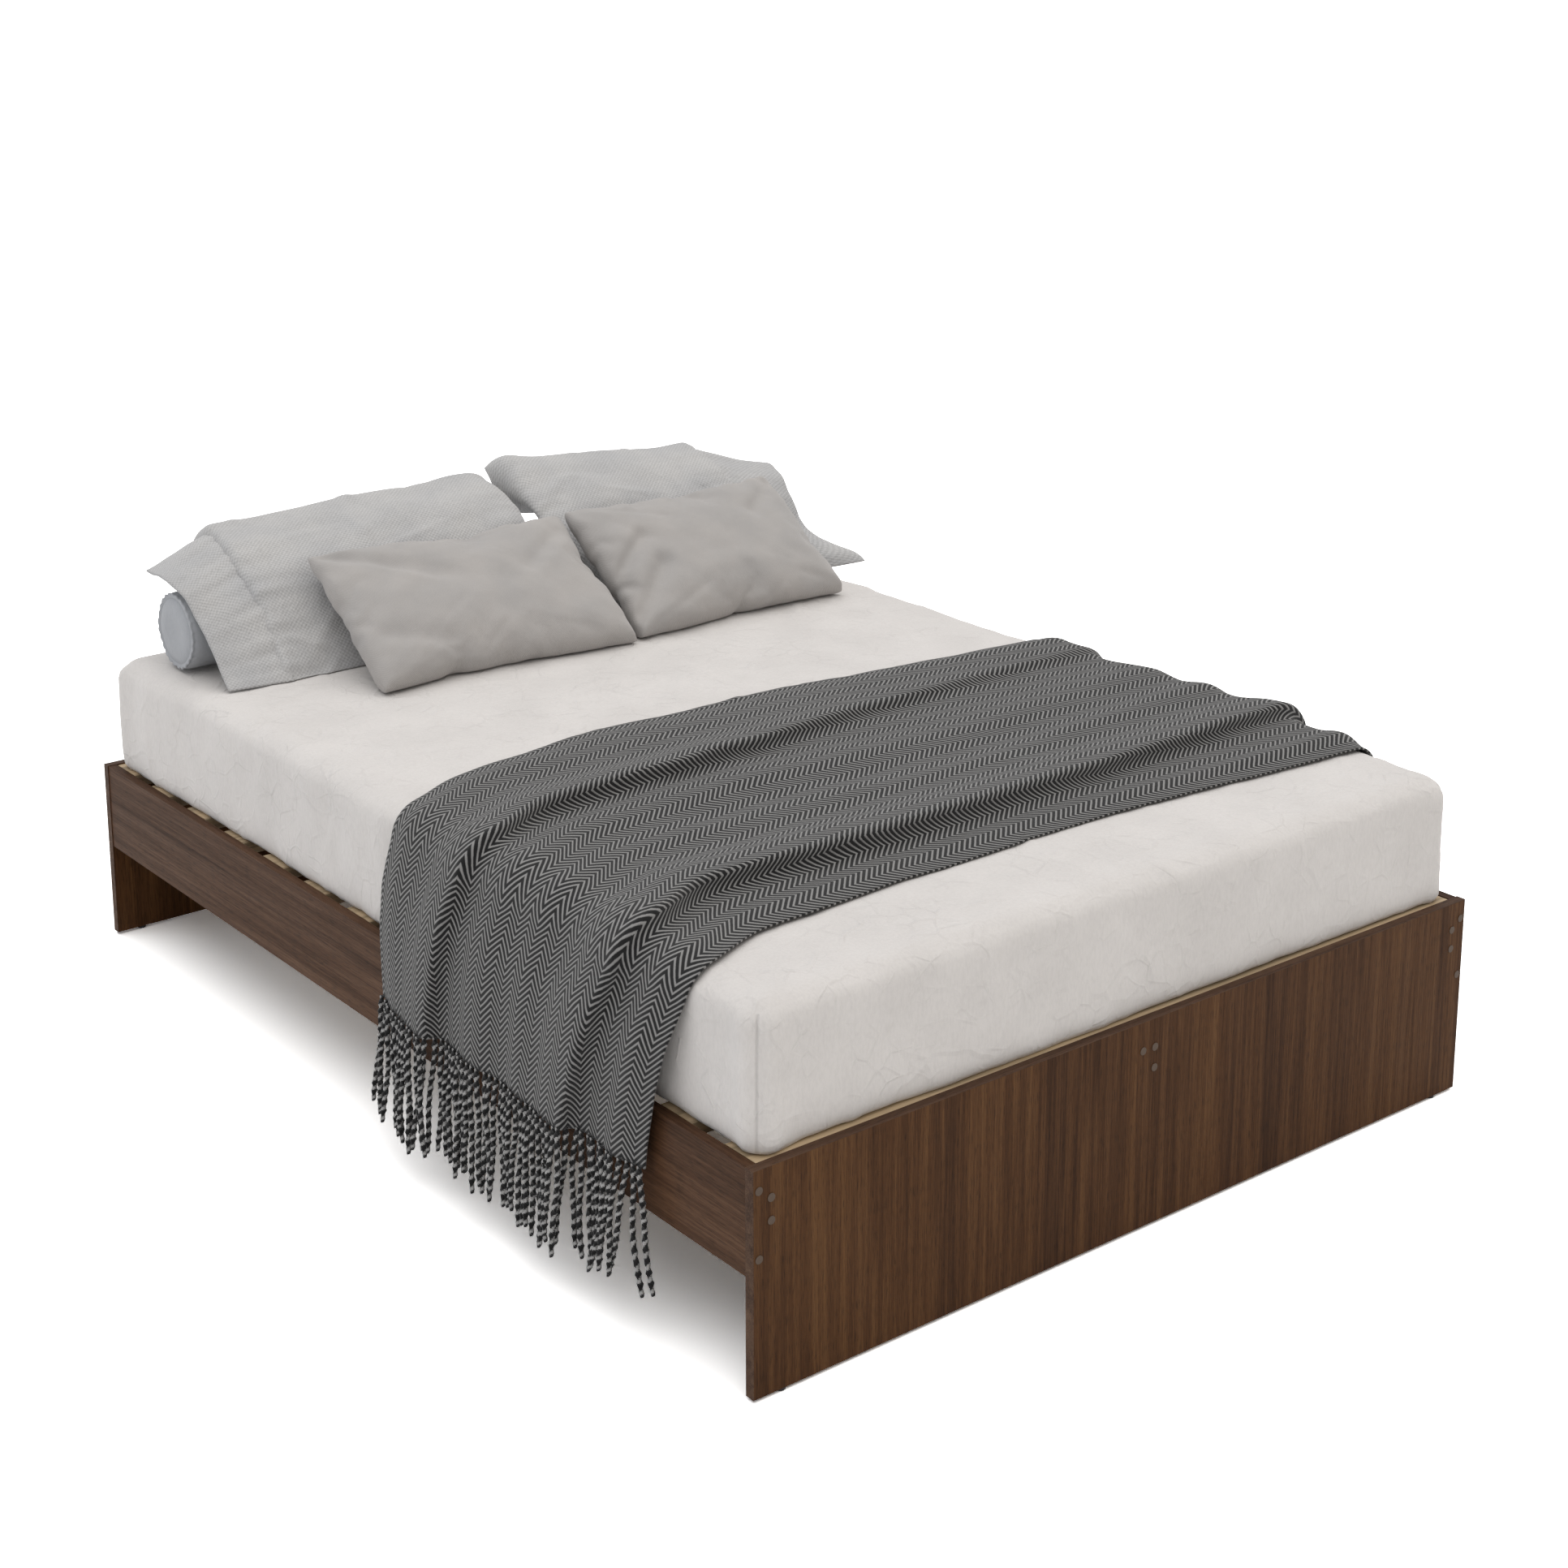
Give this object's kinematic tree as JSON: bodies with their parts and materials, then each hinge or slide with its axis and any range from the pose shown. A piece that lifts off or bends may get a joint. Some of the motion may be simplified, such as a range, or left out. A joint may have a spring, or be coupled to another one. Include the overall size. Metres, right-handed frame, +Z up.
{
  "type": "platform bed",
  "caption": "Low walnut platform bed with flat end panels, slatted base, linen-covered mattress, fringed herringbone throw, bolster, pillows and cushions.",
  "frame": {"origin": "centre of the footprint, on the floor", "axes": "+X to the right seen from the foot, +Y from the foot to the head, +Z up"},
  "size_m": [1.47, 1.9416, 0.7722],
  "materials": {
    "walnut_panel": "satin walnut laminate, upright grain",
    "walnut_rail": "satin walnut laminate, level grain",
    "walnut_edging": "satin walnut edge banding",
    "bearer_wood": "planed softwood",
    "slat_wood": "planed softwood",
    "dowel_wood": "fluted hardwood",
    "strap_webbing": "woven cotton tape",
    "screw_steel": "zinc plated",
    "cap_plastic": "matt brown",
    "glide_plastic": "matt black",
    "sheet_linen": "washed linen, off-white",
    "throw_wool": "herringbone wool, black and white",
    "fringe_yarn": "twisted wool yarn",
    "bolster_cotton": "fine twill, piped ends",
    "case_linen": "coarse basket weave linen",
    "cushion_twill": "brushed twill, warm grey"
  },
  "bodies": {
    "bed_frame": {"foot_panel": "walnut_panel", "head_panel": "walnut_panel", "left_rail": "walnut_rail", "right_rail": "walnut_rail", "foot_panel_edging": "walnut_edging", "head_panel_edging": "walnut_edging", "left_rail_edging": "walnut_edging", "right_rail_edging": "walnut_edging", "left_bearer": "bearer_wood", "right_bearer": "bearer_wood", "beam_board_left": "bearer_wood", "beam_board_right": "bearer_wood", "front_centre_leg": "bearer_wood", "rear_centre_leg": "bearer_wood", "slat_01": "slat_wood", "slat_02": "slat_wood", "slat_03": "slat_wood", "slat_04": "slat_wood", "slat_05": "slat_wood", "slat_06": "slat_wood", "slat_07": "slat_wood", "slat_08": "slat_wood", "slat_09": "slat_wood", "slat_10": "slat_wood", "slat_11": "slat_wood", "slat_12": "slat_wood", "slat_13": "slat_wood", "slat_14": "slat_wood", "rail_dowels": "dowel_wood", "leg_dowels": "dowel_wood", "slat_strap_left": "strap_webbing", "slat_strap_right": "strap_webbing", "foot_connector_screws": "screw_steel", "head_connector_screws": "screw_steel", "foot_screw_caps": "cap_plastic", "head_screw_caps": "cap_plastic", "panel_glides": "glide_plastic", "leg_glides": "glide_plastic"},
    "mattress": {"mattress": "sheet_linen"},
    "throw": {"throw": "throw_wool", "throw_fringe_left": "fringe_yarn", "throw_fringe_right": "fringe_yarn"},
    "bolster": {"bolster": "bolster_cotton"},
    "back_pillow_left": {"back_pillow_left": "case_linen"},
    "back_pillow_right": {"back_pillow_right": "case_linen"},
    "front_cushion_left": {"front_cushion_left": "cushion_twill"},
    "front_cushion_right": {"front_cushion_right": "cushion_twill"}
  },
  "joints": [
    {"name": "mattress_lift", "type": "slide", "parent": "bed_frame", "child": "mattress", "axis": [0, 0, 1], "range_m": [0, 0.25]},
    {"name": "throw_lift", "type": "slide", "parent": "mattress", "child": "throw", "axis": [0, 0, 1], "range_m": [0, 0.35]},
    {"name": "bolster_lift", "type": "slide", "parent": "mattress", "child": "bolster", "axis": [0, 0, 1], "range_m": [0, 0.2]},
    {"name": "back_pillow_left_lift", "type": "slide", "parent": "bolster", "child": "back_pillow_left", "axis": [0, 0, 1], "range_m": [0, 0.2]},
    {"name": "back_pillow_right_lift", "type": "slide", "parent": "bolster", "child": "back_pillow_right", "axis": [0, 0, 1], "range_m": [0, 0.2]},
    {"name": "front_cushion_left_lift", "type": "slide", "parent": "back_pillow_left", "child": "front_cushion_left", "axis": [0, 0, 1], "range_m": [0, 0.2]},
    {"name": "front_cushion_right_lift", "type": "slide", "parent": "back_pillow_right", "child": "front_cushion_right", "axis": [0, 0, 1], "range_m": [0, 0.2]}
  ]
}
